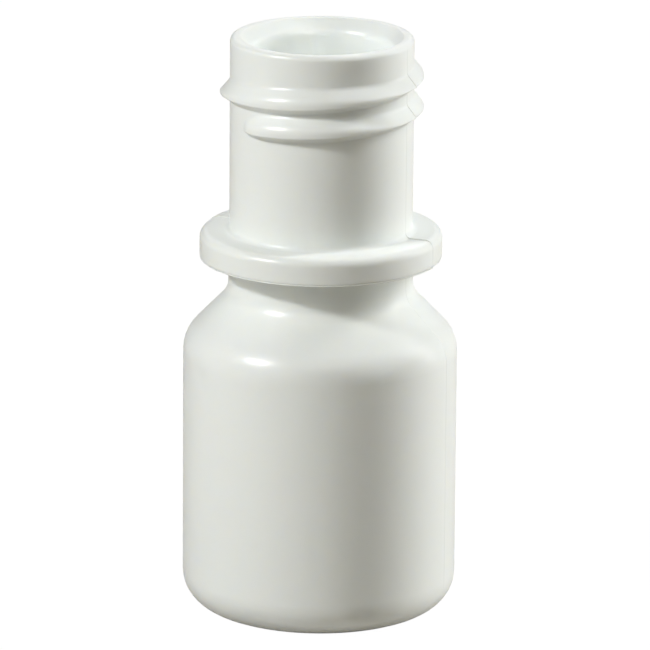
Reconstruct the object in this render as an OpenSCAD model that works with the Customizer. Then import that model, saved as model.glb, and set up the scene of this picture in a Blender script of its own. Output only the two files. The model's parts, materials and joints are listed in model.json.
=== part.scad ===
// Small narrow-mouth reagent bottle with a threaded neck, moulded in one piece.
// Lengths are in millimetres. The bottle stands on z = 0 and its axis is +Z.

/* [Body] */
// Height from the standing ring to the rim
height = 56.5; // [46:0.5:90]
// Outer diameter of the body
body_d = 26.4; // [24.6:0.1:40]
// Wall of the body and the shoulder
wall = 1; // [0.7:0.05:2]
// Radius of the heel between the body and the base
heel_fillet = 3.5; // [1.8:0.1:4.2]

/* [Base] */
// Thickness of the floor
floor_t = 1.2; // [0.8:0.1:2.5]
// Diameter of the push-up, where the standing ring begins
push_up_d = 17.6; // [12:0.2:18.6]
// Height of the push-up in the middle of the base
push_up_h = 0.9; // [0.4:0.1:2]
// Width of the sloping edge of the push-up
push_up_slope_w = 1.6; // [0.8:0.1:4]
// Radius that rounds the standing ring into the push-up
ring_fillet = 0.8; // [0.4:0.1:2]
// Radius at the top of the push-up's slope
push_up_fillet = 3; // [1:0.5:6]

/* [Shoulder] */
// Slope of the shoulder, below the horizontal, in degrees
shoulder_angle = 45.8; // [30:0.2:58]
// Radius between the shoulder and the body
shoulder_fillet = 3.6; // [1.5:0.1:5]
// Radius between the neck and the shoulder
neck_foot_fillet = 2.5; // [0.5:0.1:3.2]
// Radius where the bore opens into the shoulder
bore_foot_fillet = 1.5; // [0.5:0.1:4]

/* [Neck] */
// Diameter of the neck under the thread
neck_d = 17.6; // [16:0.1:19]
// Diameter of the neck between the collar and the shoulder
neck_foot_d = 17.76; // [16:0.1:19]
// Diameter of the bore through the neck
bore_d = 13.2; // [9:0.1:14.4]
// Length of the neck from the collar to the rim
neck_h = 19; // [16:0.25:24]
// Length of the neck from the shoulder's corner to the collar
neck_foot_h = 3.4; // [3:0.1:7]

/* [Rim] */
// Radius of the rim's outer edge
rim_fillet = 0.5; // [0.1:0.05:1]
// Width of the rim from the outside of the neck to the lip's cone
rim_w = 1; // [0.3:0.05:1.4]
// Depth of the lip's cone at the bore
lip_h = 1.15; // [0.5:0.05:2]
// Radius between the lip's cone and the bore
lip_fillet = 1.1; // [0.3:0.1:2]

/* [Collar] */
// Diameter of the collar
collar_d = 23.3; // [21.4:0.1:26]
// Thickness of the collar
collar_t = 2.65; // [1.8:0.05:4]
// Radius of the collar's upper edge
collar_top_fillet = 0.8; // [0.2:0.05:1]
// Radius of the collar's lower edge
collar_under_fillet = 0.35; // [0.1:0.05:0.7]
// Radius between the neck and the collar, above and below it
collar_root_fillet = 0.5; // [0.2:0.05:1]

/* [Thread] */
// Height of the thread above the neck
thread_h = 0.95; // [0.5:0.05:1.4]
// Axial distance from turn to turn
thread_pitch = 3.175; // [2.6:0.005:4]
// Length of the thread in turns
thread_turns = 1.5; // [1:0.05:2]
// Distance from the rim down to the crest at the lower end
thread_drop = 7.92; // [7.5:0.02:10]
// Length of the lower end that starts nearly level, in degrees
thread_level = 220; // [90:5:270]
// Rise that the level end leaves out
thread_slack = 0.42; // [0:0.02:0.8]
// Flat width of the crest
thread_crest_w = 0.3; // [0.1:0.02:0.5]
// Steepness of the upper flank, below the horizontal, in degrees
upper_flank = 49; // [35:1:58]
// Steepness of the lower flank, above the horizontal, in degrees
lower_flank = 33; // [15:1:45]
// Direction of the lower end, in degrees from +X
thread_start = -146; // [-180:1:180]
// Run-out at each end, in degrees
thread_fade = 22; // [10:1:60]

/* [Hidden] */
$fn = 128;
plastic = "#eef0ec";

// Room beyond the rim for the cut of the lip
cut_over = 1;
// Depth that the thread's inner edge reaches into the neck wall
thread_root_depth = 0.4;
// Depth under the neck's surface at which a run-out ends
fade_depth = 0.1;
// Angle between two sections of the thread, in degrees
thread_step = 7.5;
// Least radius inside a rounded corner of the wall
least_fillet = 0.3;
// Most of an edge that the fillets at its two ends may take
fillet_share = 0.96;

body_r = body_d / 2;
neck_r = neck_d / 2;
neck_foot_r = neck_foot_d / 2;
bore_r = bore_d / 2;
collar_r = collar_d / 2;

// Heights, measured down from the rim
collar_top_z = height - neck_h;
collar_under_z = collar_top_z - collar_t;
neck_foot_z = collar_under_z - neck_foot_h;
shoulder_z = neck_foot_z - (body_r - neck_foot_r) * tan(shoulder_angle);

// Inside of the wall: the shoulder's two cones are parallel, one wall apart
inner_r = body_r - wall;
inner_shoulder_z = shoulder_z - wall * tan((90 - shoulder_angle) / 2);
bore_foot_z = inner_shoulder_z + (inner_r - bore_r) * tan(shoulder_angle);
inner_heel_fillet = max(heel_fillet - wall, least_fillet);
inner_shoulder_fillet = max(shoulder_fillet - wall, least_fillet);

// Push-up of the base
push_r = push_up_d / 2;
push_top_r = push_r - push_up_slope_w;

// Cone of the lip
lip_cone_w = neck_r - rim_w - bore_r;
lip_z = height - lip_h;
lip_over_r = bore_r + lip_cone_w * (lip_h + cut_over) / lip_h;

// Outer side of the section, counter-clockwise from the axis: [radius, height, fillet]
outer_corners = [
    [0, push_up_h, 0],
    [push_top_r, push_up_h, push_up_fillet],
    [push_r, 0, ring_fillet],
    [body_r, 0, heel_fillet],
    [body_r, shoulder_z, shoulder_fillet],
    [neck_foot_r, neck_foot_z, neck_foot_fillet],
    [neck_foot_r, collar_under_z, collar_root_fillet],
    [collar_r, collar_under_z, collar_under_fillet],
    [collar_r, collar_top_z, collar_top_fillet],
    [neck_r, collar_top_z, collar_root_fillet],
    [neck_r, height, rim_fillet],
    [0, height, 0]
];

// Space inside the bottle, in the same order: the floor falls from its middle to the heel
inner_corners = [
    [0, push_up_h + floor_t, 0],
    [inner_r, floor_t, inner_heel_fillet],
    [inner_r, inner_shoulder_z, inner_shoulder_fillet],
    [bore_r, bore_foot_z, bore_foot_fillet],
    [bore_r, lip_z, lip_fillet],
    [lip_over_r, height + cut_over, 0],
    [0, height + cut_over, 0]
];

function unit(v) = v / norm(v);
function point(corner) = [corner[0], corner[1]];
function turn(a, b, c) = cross(b - a, c - b);

// Half of the angle between the two edges of a corner
function corner_half(a, b, c) = acos(unit(a - b) * unit(c - b)) / 2;

// Length that a fillet takes from each edge of its corner
function reach_at(a, b, c, r) = r / tan(corner_half(a, b, c));

// Share of their wanted lengths that two fillets can have on the edge between them
function edge_share(edge, first, second) = edge * fillet_share / max(first + second, edge * fillet_share);

// One rounded corner: both tangent points, the centre of the arc, its radius and its sense
function arc_at(a, b, c, reach) =
    let (u = unit(a - b))
    let (v = unit(c - b))
    let (half = corner_half(a, b, c))
    let (radius = reach * tan(half))
    [b + u * reach, b + unit(u + v) * radius / sin(half), b + v * reach, radius, turn(a, b, c) > 0];

// Every corner of an outline as a rounded corner or a bare point.
// A fillet gives way where an edge is too short for it.
function arcs_of(corners) =
    let (n = len(corners))
    let (p = [for (corner = corners) point(corner)])
    let (wanted = [for (i = [0 : n - 1])
        corners[i][2] > 0 ? reach_at(p[(i + n - 1) % n], p[i], p[(i + 1) % n], corners[i][2]) : 0])
    let (shares = [for (i = [0 : n - 1])
        edge_share(norm(p[(i + 1) % n] - p[i]), wanted[i], wanted[(i + 1) % n])])
    [for (i = [0 : n - 1])
        let (before = (i + n - 1) % n)
        let (after = (i + 1) % n)
        wanted[i] > 0 ? arc_at(p[before], p[i], p[after], wanted[i] * min(shares[before], shares[i])) : [p[i]]];

function is_arc(arc) = len(arc) > 1;

// Sector of an arc, cut from a true circle
module sector(arc) {
    centre = arc[1];
    first = arc[0] - centre;
    last = arc[2] - centre;
    middle = unit(first + last) * arc[3];
    intersection() {
        translate(centre) circle(r = arc[3]);
        polygon([centre, centre + 2 * first, centre + 2 * middle, centre + 2 * last]);
    }
}

// Closed outline whose corners are rounded by true arcs
module rounded_outline(corners) {
    arcs = arcs_of(corners);
    difference() {
        union() {
            polygon([for (arc = arcs) each is_arc(arc) ? [arc[0], arc[2]] : arc]);
            for (arc = arcs) if (is_arc(arc) && arc[4]) sector(arc);
        }
        for (arc = arcs) if (is_arc(arc) && !arc[4]) sector(arc);
    }
}

// Share of the full thread height at an angle after the lower end: each end swells in like a ball
function thread_share(angle) =
    let (from_end = min(angle, 360 * thread_turns - angle) / thread_fade)
    let (left = 1 - min(1, max(0, from_end)))
    sqrt(1 - left * left);

// Section of the thread at an angle after the lower end, from the lower root over the crest
function thread_section(angle) =
    let (left_out = thread_slack * (1 - cos(180 * min(1, angle / thread_level))) / 2)
    let (z = height - thread_drop + thread_pitch * angle / 360 - left_out)
    let (root = neck_r - thread_root_depth)
    let (crest = neck_r - fade_depth + (thread_h + fade_depth) * thread_share(angle))
    let (lower = z - thread_crest_w / 2)
    let (upper = z + thread_crest_w / 2)
    let (side = [cos(thread_start + angle), sin(thread_start + angle)])
    [
        [root * side[0], root * side[1], lower - (crest - root) * tan(lower_flank)],
        [crest * side[0], crest * side[1], lower],
        [crest * side[0], crest * side[1], upper],
        [root * side[0], root * side[1], upper + (crest - root) * tan(upper_flank)]
    ];

// Right-hand external thread
module thread() {
    sides = 4;
    steps = ceil(360 * thread_turns / thread_step);
    sections = [for (i = [0 : steps]) thread_section(360 * thread_turns * i / steps)];
    skin = [for (i = [0 : steps - 1], k = [0 : sides - 1])
        let (a = i * sides + k)
        let (b = i * sides + (k + 1) % sides)
        each [[a, b, b + sides], [a, b + sides, a + sides]]];
    first_end = [[0, 2, 1], [0, 3, 2]];
    last = steps * sides;
    last_end = [[last, last + 1, last + 2], [last, last + 2, last + 3]];
    polyhedron([for (s = sections) each s], concat(skin, first_end, last_end));
}

// The hollow shell, turned about the axis from its wall section
module shell() {
    rotate_extrude() difference() {
        rounded_outline(outer_corners);
        rounded_outline(inner_corners);
    }
}

module bottle() {
    color(plastic) union() {
        shell();
        thread();
    }
}

bottle();
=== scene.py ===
"""Dresses the packed reagent bottle and sets it on a plain white stage.

The bottle is one moulding. Its wall section is turned about the axis as one closed mesh, and the thread of the
neck and the two parting lines of the mould are worked into that mesh.
"""

import json
import math
from collections import namedtuple

import bpy
from bpy.props import FloatProperty, FloatVectorProperty, PointerProperty
from mathutils import Matrix, Vector


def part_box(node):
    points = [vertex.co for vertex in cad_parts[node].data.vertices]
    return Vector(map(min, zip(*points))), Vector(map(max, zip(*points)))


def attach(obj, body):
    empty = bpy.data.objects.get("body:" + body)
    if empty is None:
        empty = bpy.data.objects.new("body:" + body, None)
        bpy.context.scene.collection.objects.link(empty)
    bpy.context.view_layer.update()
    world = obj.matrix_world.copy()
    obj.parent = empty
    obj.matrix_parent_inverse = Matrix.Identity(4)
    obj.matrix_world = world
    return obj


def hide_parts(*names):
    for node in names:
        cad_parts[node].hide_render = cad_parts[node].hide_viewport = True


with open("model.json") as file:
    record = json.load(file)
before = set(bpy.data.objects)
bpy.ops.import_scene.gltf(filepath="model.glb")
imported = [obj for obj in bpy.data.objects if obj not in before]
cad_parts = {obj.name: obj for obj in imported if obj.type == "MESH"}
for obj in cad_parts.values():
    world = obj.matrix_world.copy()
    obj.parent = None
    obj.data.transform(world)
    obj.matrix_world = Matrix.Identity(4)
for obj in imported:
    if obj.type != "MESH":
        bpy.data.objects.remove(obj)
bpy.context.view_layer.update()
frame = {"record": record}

bl_info = {
    "name": "Moulded Reagent Bottle",
    "version": (1, 0, 0),
    "blender": (4, 5, 0),
    "location": "View3D > Sidebar > Bottle",
    "description": "Builds a small threaded polyethylene bottle around its CAD frame, with a stage and a camera",
    "category": "Add Mesh",
}

MM = 0.001
TURN = 2 * math.pi

# What the CAD frame says of the bottle
BOTTLE_LOW, BOTTLE_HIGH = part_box("bottle")
MOUNT_SIZES = {mount["name"]: mount["dims"] for mount in frame["record"]["mounts"]}
BOTTLE_HEIGHT = (BOTTLE_HIGH.z - BOTTLE_LOW.z) / MM
BODY_DIAMETER = (BOTTLE_HIGH.y - BOTTLE_LOW.y) / MM
BORE_DIAMETER = 2 * MOUNT_SIZES["mouth_bore"]["r_mm"]
CREST_DIAMETER = 2 * MOUNT_SIZES["neck_thread"]["r_mm"]

# Fineness of the mesh
COLUMNS = 184
ARC_STEP = math.radians(9)
SUPPORT = 0.12 * MM
FINE_FILLET = 0.03 * MM
WALL_STEP = 1.5 * MM
THREAD_STEP = 0.055 * MM

# Columns along a parting line, and the space that even columns leave for them, in half widths of its ridge
SEAM_COLUMNS = (-2.0, -1.0, -0.75, -0.5, -0.25, 0.0, 0.25, 0.5, 0.75, 1.0, 2.0)
SEAM_CLEAR = 2.5

# How far the thread's fine rows reach past its ends, as a share of the pitch
THREAD_REACH = 0.75

# Rows this near to the neck's surface belong to it
NECK_TOUCH = 0.012 * MM

# How steeply the collar's edge leaves the groove above its fin
GROOVE_SLOPE = 2

# Typical index of polyethylene, and how far red, green and blue light go into it beside each other
POLYETHYLENE_IOR = 1.54
LIGHT_REACH = (1.0, 0.95, 0.85)

# Studio floor and camera, in metres and millimetres
FLOOR_HALF = 2.0
FLOOR_GAP = 0.02 * MM
SENSOR_MM = 36
NEAREST_VIEW = 0.01

Corner = namedtuple("Corner", "r z fillet step")
Row = namedtuple("Row", "r z out_r out_z outside")


def linear(hex_code):
    """An sRGB hex colour as linear red, green, blue and alpha."""
    parts = [int(hex_code[i:i + 2], 16) / 255 for i in (1, 3, 5)]
    return [c / 12.92 if c <= 0.04045 else ((c + 0.055) / 1.055) ** 2.4 for c in parts] + [1.0]


def length(name, description, millimetres):
    """A size of the bottle, written in millimetres and kept in metres."""
    return FloatProperty(name=name, description=description, default=millimetres * MM, unit="LENGTH", precision=5)


def angle(name, description, degrees):
    """An angle, written in degrees and kept in radians."""
    return FloatProperty(name=name, description=description, default=math.radians(degrees), subtype="ANGLE")


def share(name, description, value):
    """A number from 0 to 1."""
    return FloatProperty(name=name, description=description, default=value, min=0, max=1, subtype="FACTOR")


def colour(name, description, hex_code):
    """A colour, written as sRGB hex and kept linear."""
    return FloatVectorProperty(
        name=name, description=description, default=linear(hex_code), size=4, min=0, max=1, subtype="COLOR")


class BodySizes(bpy.types.PropertyGroup):
    """Body, shoulder and base of the bottle"""

    height: length("Height", "From the standing ring to the rim", BOTTLE_HEIGHT)
    body_d: length("Body diameter", "Across the outside of the body", BODY_DIAMETER)
    wall: length("Wall", "Wall of the body and the shoulder", 1)
    heel_fillet: length("Heel radius", "Between the body and the base", 3.5)
    shoulder_angle: angle("Shoulder slope", "Slope of the shoulder below the horizontal", 45.8)
    shoulder_fillet: length("Shoulder radius", "Between the shoulder and the body", 3.6)
    floor_t: length("Floor", "Thickness of the floor", 1.2)
    push_up_d: length("Push-up diameter", "Where the standing ring begins", 17.6)
    push_up_h: length("Push-up height", "Height of the base in its middle", 0.9)
    push_up_slope_w: length("Push-up slope", "Width of the push-up's sloping edge", 1.6)
    push_up_fillet: length("Push-up radius", "At the top of the push-up's slope", 3)
    ring_fillet: length("Ring radius", "From the standing ring into the push-up", 0.8)
    gate_d: length("Gate mark diameter", "Dimple where the plastic was let in", 2.4)
    gate_h: length("Gate mark depth", "Depth of that dimple", 0.15)
    gate_fillet: length("Gate mark radius", "Rounding of that dimple", 0.5)


class NeckSizes(bpy.types.PropertyGroup):
    """Neck, rim and collar of the bottle"""

    neck_d: length("Neck diameter", "Under the thread", 17.6)
    neck_foot_d: length("Neck foot diameter", "Between the collar and the shoulder", 17.76)
    bore_d: length("Bore diameter", "Through the neck", BORE_DIAMETER)
    neck_h: length("Neck height", "From the collar to the rim", 19)
    neck_foot_h: length("Neck foot height", "From the shoulder's corner to the collar", 3.4)
    neck_foot_fillet: length("Neck foot radius", "Between the neck and the shoulder", 2.5)
    bore_foot_fillet: length("Bore foot radius", "Where the bore opens into the shoulder", 1.5)
    rim_fillet: length("Rim radius", "Outer edge of the rim", 0.5)
    rim_w: length("Rim width", "From the outside of the neck to the lip's cone", 1)
    lip_edge_fillet: length("Lip edge radius", "Between the rim and the lip's cone", 0.2)
    lip_h: length("Lip depth", "Depth of the lip's cone at the bore", 1.15)
    lip_fillet: length("Lip radius", "Between the lip's cone and the bore", 1.1)
    collar_d: length("Collar diameter", "Across the collar", 23.3)
    collar_t: length("Collar thickness", "Height of the collar's edge", 2.65)
    collar_top_fillet: length("Collar top radius", "Upper edge of the collar", 0.8)
    collar_under_fillet: length("Collar under radius", "Lower edge of the collar", 0.35)
    fin_t: length(
        "Fin thickness", "Fine fin that the neck ring of the mould leaves along the collar's lower edge", 0.07)
    fin_w: length("Fin width", "How far that fin stands out of its groove", 0.07)
    collar_root_fillet: length("Collar root radius", "Between the neck and the collar", 0.5)


class ThreadSizes(bpy.types.PropertyGroup):
    """Right-hand thread on the neck"""

    crest_d: length("Crest diameter", "Across the thread", CREST_DIAMETER)
    pitch: length("Pitch", "Rise in one turn", 3.175)
    turns: FloatProperty(name="Turns", description="Length of the thread in turns", default=1.5)
    drop: length("Drop", "From the rim down to the crest at the lower end", 7.92)
    level: angle("Level end", "Length of the lower end that starts nearly level", 220)
    slack: length("Slack", "Rise that the level end leaves out", 0.42)
    crest_w: length("Crest width", "Width of the crest between its flanks", 0.8)
    crest_below: share("Crest below", "Share of that width that lies below the crest's line", 0.3)
    relief: share("Parting relief", "How much narrower the crest is along the parting lines", 0.92)
    crest_round: length("Crest rounding", "How far the crest's upper edge is rounded off", 0.4)
    crest_edge: length("Crest edge", "How far the crest's lower edge is rounded off", 0.06)
    root_blend: length("Root rounding", "How far the roots are rounded", 0.2)
    upper_flank: angle("Upper flank", "Steepness of the upper flank", 49)
    lower_flank: angle("Lower flank", "Steepness of the lower flank", 33)
    start: angle("Start", "Direction of the lower end, from +X", -146)
    fade: angle("Run-out", "Length of the run-out at each end", 22)


class SeamSizes(bpy.types.PropertyGroup):
    """Parting lines that the two halves of the mould leave"""

    direction: angle("Direction", "Direction of the front parting line, from +X", -23)
    ridge_h: length("Ridge height", "How far the line stands out", 0.03)
    ridge_w: angle("Ridge half width", "Half width of the line, seen from the axis", 0.6)
    mismatch: length("Mismatch", "How far the back half lies above the front half, at the neck", 0.08)
    run_out: length("Mismatch run-out", "Height under the rim over which that step runs out", 2)


class PlasticLook(bpy.types.PropertyGroup):
    """Finish of the white polyethylene"""

    pale: colour("Colour", "Where the pigment is even", "#f2f7f4")
    deep: colour("Clouded colour", "Where the pigment is thinner", "#f0f5f1")
    roughness: share("Roughness", "Least roughness of the skin", 0.29)
    roughness_spread: share("Roughness spread", "How much rougher the skin is in places", 0.05)
    polish: share("Polish", "Share of the skin that the mould left polished", 0.07)
    polish_roughness: share("Polish roughness", "Roughness of that share", 0.12)
    translucency: share("Translucency", "Share of the light that goes into the wall", 0.8)
    depth: length("Light depth", "How far light spreads in the wall", 0.4)
    cloud: length("Cloud size", "Width of a cloud in the pigment", 6)
    ripple: length("Ripple size", "Width of a ripple in the moulded skin", 0.9)
    ripple_h: length("Ripple height", "Height of that ripple", 0.002)


class StageLook(bpy.types.PropertyGroup):
    """Floor, light and camera"""

    floor: colour("Board", "Warm grey board, which throws a little light up at the bottle", "#9b968c")
    floor_light: share("Floor white", "Share of the board that the camera sees as plain white", 0.9)
    floor_glow: FloatProperty(name="Floor glow", description="Strength of that white", default=1.1)
    surround: colour("Surround", "Colour of the light from all around", "#fff2e0")
    surround_strength: FloatProperty(name="Surround strength", description="Light from all around", default=0.01)
    mouth_power: FloatProperty(name="Mouth spot", description="Power of the spot into the mouth", default=2.8)
    mouth_beam: angle("Mouth beam", "Angle of that spot's soft beam", 1)
    mouth_side: angle("Mouth side", "Direction that the spot comes from, to the right of the camera", 20)
    mouth_elevation: angle("Mouth elevation", "Elevation of the spot", 26)
    mouth_depth: length("Mouth depth", "From the rim down to the place that it lights", 3.3)
    mouth_distance: length("Mouth distance", "From that place to the spot", 400)
    mouth_lamp_r: length("Mouth lamp radius", "Size of the spot's lamp", 2)
    camera_distance: FloatProperty(
        name="Camera distance", description="From the camera's middle", default=0.7016, unit="LENGTH")
    camera_middle: length("Camera middle", "Height of the point that the camera is placed round", 28)
    camera_elevation: angle("Camera elevation", "Above the horizon", 15.64)
    aim_side: length("Aim side", "How far to the right of the axis the camera looks", 0.456)
    aim_height: length("Aim height", "How high on the axis the camera looks", 27.89)
    camera_roll: angle("Camera roll", "Lean of the bottle in the picture, to the right", 0.43)
    lens: FloatProperty(name="Lens", description="Focal length in millimetres, on a sensor 36 mm wide", default=403.4)


def corner_arc(before, corner, after):
    """Points of one rounded corner of a section, from its first tangent point to its last."""
    here = Vector((corner.r, corner.z))
    if not corner.fillet:
        return [here]
    back = (Vector((before.r, before.z)) - here).normalized()
    onward = (Vector((after.r, after.z)) - here).normalized()
    half = back.angle(onward) / 2
    centre = here + (back + onward).normalized() * corner.fillet / math.sin(half)
    spoke = here + back * corner.fillet / math.tan(half) - centre
    sweep = math.copysign(math.pi - 2 * half, onward.cross(back))
    count = max(2, math.ceil(abs(sweep) / ARC_STEP))
    return [centre + Matrix.Rotation(sweep * i / count, 2) @ spoke for i in range(count + 1)]


def stretch(start, end, step):
    """Points between two ends. One lies close to each end and keeps the shading of the stretch flat."""
    run = end - start
    if run.length < 3 * SUPPORT:
        return []
    near = SUPPORT / run.length
    count = max(1, round(run.length * (1 - 2 * near) / step))
    return [start + run * (near + (1 - 2 * near) * i / count) for i in range(count + 1)]


def section_points(corners):
    """Points along an open section through its rounded corners, each with the index of its corner."""
    arcs = [[Vector((corners[0].r, corners[0].z))]]
    for before, corner, after in zip(corners, corners[1:], corners[2:]):
        arcs.append(corner_arc(before, corner, after))
    arcs.append([Vector((corners[-1].r, corners[-1].z))])
    points = []
    for i, arc in enumerate(arcs):
        points += [(point, i) for point in arc]
        if i + 1 < len(arcs):
            points += [(point, i) for point in stretch(arc[-1], arcs[i + 1][0], corners[i].step)]
    return points


def wall_section(body, neck, thread):
    """Rows of the bottle's wall: from the middle of the base up to the rim, and down inside to the floor."""
    body_r = body.body_d / 2
    neck_r = neck.neck_d / 2
    foot_r = neck.neck_foot_d / 2
    bore_r = neck.bore_d / 2
    collar_r = neck.collar_d / 2
    groove_r = collar_r - neck.fin_w - FINE_FILLET
    push_r = body.push_up_d / 2
    gate_r = body.gate_d / 2
    inner_r = body_r - body.wall
    slope = math.tan(body.shoulder_angle)

    collar_top = body.height - neck.neck_h
    collar_under = collar_top - neck.collar_t
    foot_z = collar_under - neck.neck_foot_h
    shoulder_z = foot_z - (body_r - foot_r) * slope
    inner_shoulder_z = shoulder_z - body.wall * math.tan((math.pi / 2 - body.shoulder_angle) / 2)
    bore_foot_z = inner_shoulder_z + (inner_r - bore_r) * slope
    fin_top = collar_under + neck.fin_t
    thread_low = body.height - thread.drop - THREAD_REACH * thread.pitch
    thread_high = body.height - thread.drop + (thread.turns + THREAD_REACH) * thread.pitch

    outside = [
        Corner(0, body.push_up_h + body.gate_h, 0, WALL_STEP),
        Corner(gate_r / 2, body.push_up_h + body.gate_h, body.gate_fillet, WALL_STEP),
        Corner(gate_r, body.push_up_h, body.gate_fillet, WALL_STEP),
        Corner(push_r - body.push_up_slope_w, body.push_up_h, body.push_up_fillet, WALL_STEP),
        Corner(push_r, 0, body.ring_fillet, WALL_STEP),
        Corner(body_r, 0, body.heel_fillet, WALL_STEP),
        Corner(body_r, shoulder_z, body.shoulder_fillet, WALL_STEP),
        Corner(foot_r, foot_z, neck.neck_foot_fillet, WALL_STEP),
        Corner(foot_r, collar_under, neck.collar_root_fillet, WALL_STEP),
        Corner(groove_r + neck.fin_w, collar_under, FINE_FILLET, WALL_STEP),
        Corner(groove_r + neck.fin_w, fin_top, FINE_FILLET, WALL_STEP),
        Corner(groove_r, fin_top, FINE_FILLET, WALL_STEP),
        Corner(collar_r, fin_top + GROOVE_SLOPE * neck.fin_w, neck.collar_under_fillet, WALL_STEP),
        Corner(collar_r, collar_top, neck.collar_top_fillet, WALL_STEP),
        Corner(neck_r, collar_top, neck.collar_root_fillet, WALL_STEP),
        Corner(neck_r, thread_low, 0, THREAD_STEP),
        Corner(neck_r, thread_high, 0, WALL_STEP),
        Corner(neck_r, body.height, neck.rim_fillet, WALL_STEP),
    ]
    inside = [
        Corner(neck_r - neck.rim_w, body.height, neck.lip_edge_fillet, WALL_STEP),
        Corner(bore_r, body.height - neck.lip_h, neck.lip_fillet, WALL_STEP),
        Corner(bore_r, bore_foot_z, neck.bore_foot_fillet, WALL_STEP),
        Corner(inner_r, inner_shoulder_z, max(body.shoulder_fillet - body.wall, SUPPORT), WALL_STEP),
        Corner(inner_r, body.floor_t, max(body.heel_fillet - body.wall, SUPPORT), WALL_STEP),
        Corner(0, body.push_up_h + body.floor_t, 0, WALL_STEP),
    ]
    points = section_points(outside + inside)
    rows = []
    for i, (point, corner) in enumerate(points):
        along = points[min(i + 1, len(points) - 1)][0] - points[max(i - 1, 0)][0]
        along.normalize()
        rows.append(Row(point.x, point.y, along.y, -along.x, corner < len(outside)))
    return rows


def smooth_min(a, b, blend):
    """The smaller of two heights, with the corner between them rounded off."""
    overlap = max(blend - abs(a - b), 0.0)
    return min(a, b) - overlap * overlap / (4 * blend)


def smooth_step(t):
    """0 before 0, 1 after 1, and a soft rise between them."""
    t = min(max(t, 0.0), 1.0)
    return t * t * (3 - 2 * t)


def thread_height(thread, neck, rim_z, azimuth, z, parting):
    """How far the thread stands out from the neck at a direction and a height."""
    full = (thread.crest_d - neck.neck_d) / 2
    width_share = 1 - thread.relief * math.cos(azimuth - parting) ** 2
    above = thread.crest_w * (1 - thread.crest_below) * width_share
    below = thread.crest_w * thread.crest_below * width_share
    highest = -thread.root_blend
    swept = (azimuth - thread.start) % TURN
    while swept < TURN * thread.turns:
        from_end = min(swept, TURN * thread.turns - swept) / thread.fade
        left = 1 - min(1.0, from_end)
        crest = (full + thread.root_blend) * math.sqrt(1 - left * left) - thread.root_blend
        off = z - (rim_z - thread.drop + thread.pitch * swept / TURN)
        off += thread.slack * (0.5 - 0.5 * math.cos(math.pi * min(swept / thread.level, 1.0)))
        upper = crest + (above - off) / math.tan(thread.upper_flank)
        lower = crest + (below + off) / math.tan(thread.lower_flank)
        turn = smooth_min(smooth_min(crest, upper, thread.crest_round * width_share), lower, thread.crest_edge)
        highest = max(highest, turn)
        swept += TURN
    return -smooth_min(0.0, -highest, thread.root_blend)


def seam_shape(seam, azimuth):
    """The share of the parting ridge, and of the back half's lift, at a direction."""
    past = (azimuth - seam.direction + math.pi / 2) % TURN - math.pi / 2
    near_front = past < math.pi / 2
    off = past if near_front else past - math.pi
    ridge = 0.5 + 0.5 * math.cos(math.pi * min(abs(off) / seam.ridge_w, 1.0))
    lift = smooth_step(0.5 + off / seam.ridge_w)
    return ridge, lift if near_front else 1 - lift


def column_directions(seam):
    """Directions of the mesh's columns, with fine ones along both parting lines."""
    lines = (seam.direction % TURN, (seam.direction + math.pi) % TURN)
    clear = SEAM_CLEAR * seam.ridge_w
    even = [TURN * i / COLUMNS for i in range(COLUMNS)]
    kept = [a for a in even if all(abs((a - line + math.pi) % TURN - math.pi) > clear for line in lines)]
    fine = [(line + offset * seam.ridge_w) % TURN for line in lines for offset in SEAM_COLUMNS]
    return sorted(kept + fine)


def bottle_mesh(body, neck, thread, seam):
    """The bottle as one closed mesh, turned from its wall section."""
    rows = wall_section(body, neck, thread)
    columns = [(a, math.cos(a), math.sin(a), *seam_shape(seam, a)) for a in column_directions(seam)]
    neck_low = body.height - neck.neck_h + neck.collar_root_fillet
    foot_z = body.height - neck.neck_h - neck.collar_t - neck.neck_foot_h
    vertices = []
    for row in rows[1:-1]:
        on_neck = row.outside and row.z > neck_low and row.r > neck.neck_d / 2 - NECK_TOUCH
        seam_share = smooth_step((row.z - body.heel_fillet / 2) / body.heel_fillet)
        seam_share *= smooth_step((body.height - row.z) / neck.rim_fillet) if row.outside else 0
        lift_share = seam_share * smooth_step((body.height - row.z) / seam.run_out)
        lift_share *= smooth_step((row.z - foot_z) / neck.neck_foot_h)
        for azimuth, cosine, sine, ridge, lift in columns:
            height = thread_height(thread, neck, body.height, azimuth, row.z, seam.direction) if on_neck else 0.0
            proud = seam.ridge_h * ridge * seam_share
            r = row.r + height + proud * row.out_r
            z = row.z + proud * row.out_z + seam.mismatch * lift * lift_share
            vertices.append((r * cosine, r * sine, z))
    count = len(columns)
    first = len(vertices)
    vertices += [(0, 0, rows[0].z), (0, 0, rows[-1].z)]
    faces = []
    for j in range(count):
        k = (j + 1) % count
        faces.append((first, k, j))
        for start in range(0, first - count, count):
            faces.append((start + j, start + k, start + count + k, start + count + j))
        faces.append((first - count + j, first - count + k, first + 1))
    mesh = bpy.data.meshes.new("bottle")
    mesh.from_pydata(vertices, [], faces)
    mesh.shade_smooth()
    return mesh


def add_node(tree, kind, settings=None, links=None):
    """Adds a node, sets its own values and its unlinked inputs, and links the rest of its inputs."""
    node = tree.nodes.new(kind)
    for name, value in (settings or {}).items():
        if name in node.inputs:
            node.inputs[name].default_value = value
        else:
            setattr(node, name, value)
    for name, source in (links or {}).items():
        tree.links.new(source, node.inputs[name])
    return node


def new_material(name):
    """An empty node material."""
    material = bpy.data.materials.new(name)
    material.use_nodes = True
    material.node_tree.nodes.clear()
    return material


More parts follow.
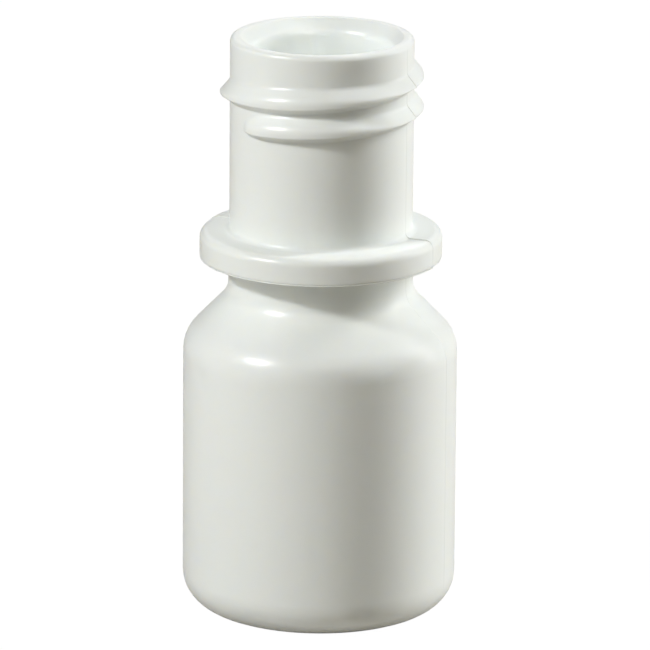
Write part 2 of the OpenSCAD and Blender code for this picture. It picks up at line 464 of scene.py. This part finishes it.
def moulded_polyethylene(look):
    """High-density polyethylene filled with white pigment, blown in a polished mould.

    The skin has a satin gloss with slight ripples, light goes a little way into the wall and comes back soft,
    and the pigment is faintly clouded.
    """
    material = new_material("Moulded white polyethylene")
    tree = material.node_tree
    place = add_node(tree, "ShaderNodeTexCoord").outputs["Object"]
    clouds = add_node(
        tree, "ShaderNodeTexNoise", {"Scale": 1 / look.cloud, "Detail": 3.0}, {"Vector": place})
    ripples = add_node(
        tree, "ShaderNodeTexNoise", {"Scale": 1 / look.ripple, "Detail": 2.0}, {"Vector": place})
    pigment = add_node(
        tree, "ShaderNodeMix", {"data_type": "RGBA"}, {"Factor": clouds.outputs["Fac"]})
    pigment.inputs["A"].default_value = look.pale
    pigment.inputs["B"].default_value = look.deep
    # The least roughness stays above 0.28, because a denoiser can show the clouds' outlines below that
    skin = add_node(
        tree, "ShaderNodeMapRange",
        {"To Min": look.roughness, "To Max": look.roughness + look.roughness_spread},
        {"Value": clouds.outputs["Fac"]})
    bump = add_node(
        tree, "ShaderNodeBump", {"Strength": 1.0, "Distance": look.ripple_h}, {"Height": ripples.outputs["Fac"]})
    plastic = add_node(
        tree, "ShaderNodeBsdfPrincipled",
        {"IOR": POLYETHYLENE_IOR, "Subsurface Weight": look.translucency, "Subsurface Radius": LIGHT_REACH,
         "Subsurface Scale": look.depth, "Coat Weight": look.polish, "Coat Roughness": look.polish_roughness},
        {"Base Color": pigment.outputs["Result"], "Roughness": skin.outputs["Result"],
         "Normal": bump.outputs["Normal"]})
    add_node(tree, "ShaderNodeOutputMaterial", links={"Surface": plastic.outputs["BSDF"]})
    return material


class BOTTLE_OT_add_bottle(bpy.types.Operator):
    """Build the moulded bottle in place of its CAD solid"""

    bl_idname = "bottle.add_bottle"
    bl_label = "Add Bottle"

    def execute(self, context):
        scene = context.scene
        mesh = bottle_mesh(scene.bottle_body, scene.bottle_neck, scene.bottle_thread, scene.bottle_seam)
        if mesh.validate():
            raise RuntimeError("the bottle's mesh has faulty faces")
        mesh.materials.append(moulded_polyethylene(scene.bottle_plastic))
        bottle = bpy.data.objects.new("moulded_bottle", mesh)
        scene.collection.objects.link(bottle)
        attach(bottle, "root")
        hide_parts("bottle")
        return {"FINISHED"}


# Angles in degrees, lengths in metres, power in watts
Lamp = namedtuple("Lamp", "name azimuth elevation distance width height power tint mirrored")

# Lamps round the bottle, with azimuth to the right of the camera. A wash leaves no mirror image on the skin.
LAMPS = (
    Lamp("key", -61, 36, 0.9, 0.16, 0.08, 4.4, "#ffffff", True),
    Lamp("left_wash", -60, 18, 1.2, 0.4, 0.7, 4.1, "#ffffff", False),
    Lamp("right_box", 106, 22, 1.2, 0.3, 0.9, 2.4, "#ffffff", True),
    Lamp("right_wash", 107, 22, 1.2, 0.3, 0.9, 15.4, "#ffffff", False),
    Lamp("back_box", 180, 30, 1.2, 1.0, 0.8, 2.6, "#ffffff", True),
    Lamp("front_box", 5, 45, 1.2, 0.8, 0.5, 1.6, "#fff8e8", True),
    Lamp("table_box", 0, -90, 0.5, 0.3, 0.3, 0.3, "#ffffff", True),
)


def direction(azimuth, elevation):
    """Unit vector towards a place round the bottle, from angles in radians."""
    return Vector((
        math.sin(azimuth) * math.cos(elevation), -math.cos(azimuth) * math.cos(elevation), math.sin(elevation)))


def aim(thing, target, roll=0.0):
    """Turns a lamp or camera to look at a point."""
    towards = (target - thing.location).to_track_quat("-Z", "Y")
    thing.rotation_euler = (towards.to_matrix() @ Matrix.Rotation(roll, 3, "Z")).to_euler()


def add_lamps(scene, middle):
    """The small key lamp, the boxes, the washes and the table's lamp, aimed at the middle of the bottle."""
    for lamp in LAMPS:
        light = bpy.data.lights.new(lamp.name, "AREA")
        light.shape = "RECTANGLE"
        light.size = lamp.width
        light.size_y = lamp.height
        light.energy = lamp.power
        light.color = linear(lamp.tint)[:3]
        box = bpy.data.objects.new(lamp.name, light)
        scene.collection.objects.link(box)
        box.location = middle + lamp.distance * direction(math.radians(lamp.azimuth), math.radians(lamp.elevation))
        box.visible_camera = False
        box.visible_glossy = lamp.mirrored
        aim(box, middle)


def add_mouth_lamp(scene, look, neck):
    """Narrow spot over the front rim onto the back of the bore, whose own shade would hide the inside."""
    light = bpy.data.lights.new("mouth_spot", "SPOT")
    light.energy = look.mouth_power
    light.spot_size = look.mouth_beam
    light.spot_blend = 1.0
    light.shadow_soft_size = look.mouth_lamp_r
    spot = bpy.data.objects.new("mouth_spot", light)
    scene.collection.objects.link(spot)
    target = neck.bore_d / 2 * direction(math.pi + look.mouth_side, 0)
    target.z = BOTTLE_HIGH.z - look.mouth_depth
    spot.location = target + look.mouth_distance * direction(look.mouth_side, look.mouth_elevation)
    spot.visible_camera = False
    aim(spot, target)


def seen_directly(tree):
    """1 for the rays that come straight from the camera."""
    return add_node(tree, "ShaderNodeLightPath").outputs["Is Camera Ray"]


def add_world(scene, look):
    """Faint light from all around, which the camera sees as plain white."""
    world = bpy.data.worlds.new("studio")
    world.use_nodes = True
    tree = world.node_tree
    tree.nodes.clear()
    around = add_node(
        tree, "ShaderNodeBackground", {"Color": look.surround, "Strength": look.surround_strength})
    white = add_node(tree, "ShaderNodeBackground", {"Color": (1, 1, 1, 1), "Strength": 1.0})
    mix = add_node(tree, "ShaderNodeMixShader", links={"Fac": seen_directly(tree)})
    tree.links.new(around.outputs["Background"], mix.inputs[1])
    tree.links.new(white.outputs["Background"], mix.inputs[2])
    add_node(tree, "ShaderNodeOutputWorld", links={"Surface": mix.outputs["Shader"]})
    scene.world = world


def studio_floor(look):
    """Matt board of a light table. The camera sees it nearly as plain white, with the bottle's shadow faint on it.

    It lets the table's lamp through, and from below it is clear, so that the base can be looked at.
    """
    material = new_material("Matt studio board")
    tree = material.node_tree
    board = add_node(tree, "ShaderNodeBsdfDiffuse", {"Color": look.floor})
    white = add_node(tree, "ShaderNodeEmission", {"Color": (1, 1, 1, 1), "Strength": look.floor_glow})
    clear = add_node(tree, "ShaderNodeBsdfTransparent")
    lit_share = add_node(tree, "ShaderNodeMath", {"operation": "MULTIPLY"})
    tree.links.new(seen_directly(tree), lit_share.inputs[0])
    lit_share.inputs[1].default_value = look.floor_light
    front = add_node(tree, "ShaderNodeMixShader", links={"Fac": lit_share.outputs["Value"]})
    tree.links.new(board.outputs["BSDF"], front.inputs[1])
    tree.links.new(white.outputs["Emission"], front.inputs[2])
    open_share = add_node(tree, "ShaderNodeMath", {"operation": "MAXIMUM"})
    tree.links.new(add_node(tree, "ShaderNodeNewGeometry").outputs["Backfacing"], open_share.inputs[0])
    tree.links.new(add_node(tree, "ShaderNodeLightPath").outputs["Is Shadow Ray"], open_share.inputs[1])
    both = add_node(tree, "ShaderNodeMixShader", links={"Fac": open_share.outputs["Value"]})
    tree.links.new(front.outputs["Shader"], both.inputs[1])
    tree.links.new(clear.outputs["BSDF"], both.inputs[2])
    add_node(tree, "ShaderNodeOutputMaterial", links={"Surface": both.outputs["Shader"]})
    return material


def add_floor(scene, look):
    """A plain square floor just under the standing ring."""
    corners = [(x * FLOOR_HALF, y * FLOOR_HALF, -FLOOR_GAP) for x, y in ((-1, -1), (1, -1), (1, 1), (-1, 1))]
    mesh = bpy.data.meshes.new("floor")
    mesh.from_pydata(corners, [], [(0, 1, 2, 3)])
    mesh.materials.append(studio_floor(look))
    floor = bpy.data.objects.new("floor", mesh)
    scene.collection.objects.link(floor)


def add_camera(scene, look):
    """Long lens at the photograph's height and direction."""
    data = bpy.data.cameras.new("camera")
    data.sensor_width = SENSOR_MM
    data.lens = look.lens
    data.clip_start = NEAREST_VIEW
    camera = bpy.data.objects.new("camera", data)
    scene.collection.objects.link(camera)
    middle = Vector((0, 0, look.camera_middle))
    camera.location = middle + look.camera_distance * direction(0, look.camera_elevation)
    aim(camera, Vector((look.aim_side, 0, look.aim_height)), look.camera_roll)
    scene.camera = camera


class BOTTLE_OT_add_stage(bpy.types.Operator):
    """Add the floor, the studio light and the camera"""

    bl_idname = "bottle.add_stage"
    bl_label = "Add Stage"

    def execute(self, context):
        scene = context.scene
        look = scene.bottle_stage
        middle = (BOTTLE_LOW + BOTTLE_HIGH) / 2
        add_floor(scene, look)
        add_lamps(scene, middle)
        add_mouth_lamp(scene, look, scene.bottle_neck)
        add_world(scene, look)
        add_camera(scene, look)
        scene.view_settings.view_transform = "Standard"
        return {"FINISHED"}


GROUPS = {
    "bottle_body": BodySizes,
    "bottle_neck": NeckSizes,
    "bottle_thread": ThreadSizes,
    "bottle_seam": SeamSizes,
    "bottle_plastic": PlasticLook,
    "bottle_stage": StageLook,
}


class BOTTLE_PT_panel(bpy.types.Panel):
    """Lists the bottle's sizes, its finish and its stage"""

    bl_label = "Reagent Bottle"
    bl_idname = "BOTTLE_PT_panel"
    bl_space_type = "VIEW_3D"
    bl_region_type = "UI"
    bl_category = "Bottle"

    def draw(self, context):
        layout = self.layout
        layout.operator(BOTTLE_OT_add_bottle.bl_idname)
        layout.operator(BOTTLE_OT_add_stage.bl_idname)
        for name, group in GROUPS.items():
            box = layout.box()
            box.label(text=group.__doc__)
            for value in group.__annotations__:
                box.prop(getattr(context.scene, name), value)


OPERATORS = (BOTTLE_OT_add_bottle, BOTTLE_OT_add_stage)


def register():
    """Adds the classes, and one group of values to the scene for each part of the panel."""
    for cls in (*GROUPS.values(), *OPERATORS, BOTTLE_PT_panel):
        bpy.utils.register_class(cls)
    for name, group in GROUPS.items():
        setattr(bpy.types.Scene, name, PointerProperty(type=group))


def unregister():
    """Takes both away again."""
    for name in GROUPS:
        delattr(bpy.types.Scene, name)
    for cls in (BOTTLE_PT_panel, *OPERATORS, *GROUPS.values()):
        bpy.utils.unregister_class(cls)


def main():
    """Builds the bottle and its stage."""
    register()
    bpy.ops.bottle.add_bottle()
    bpy.ops.bottle.add_stage()


if __name__ == "__main__":
    main()
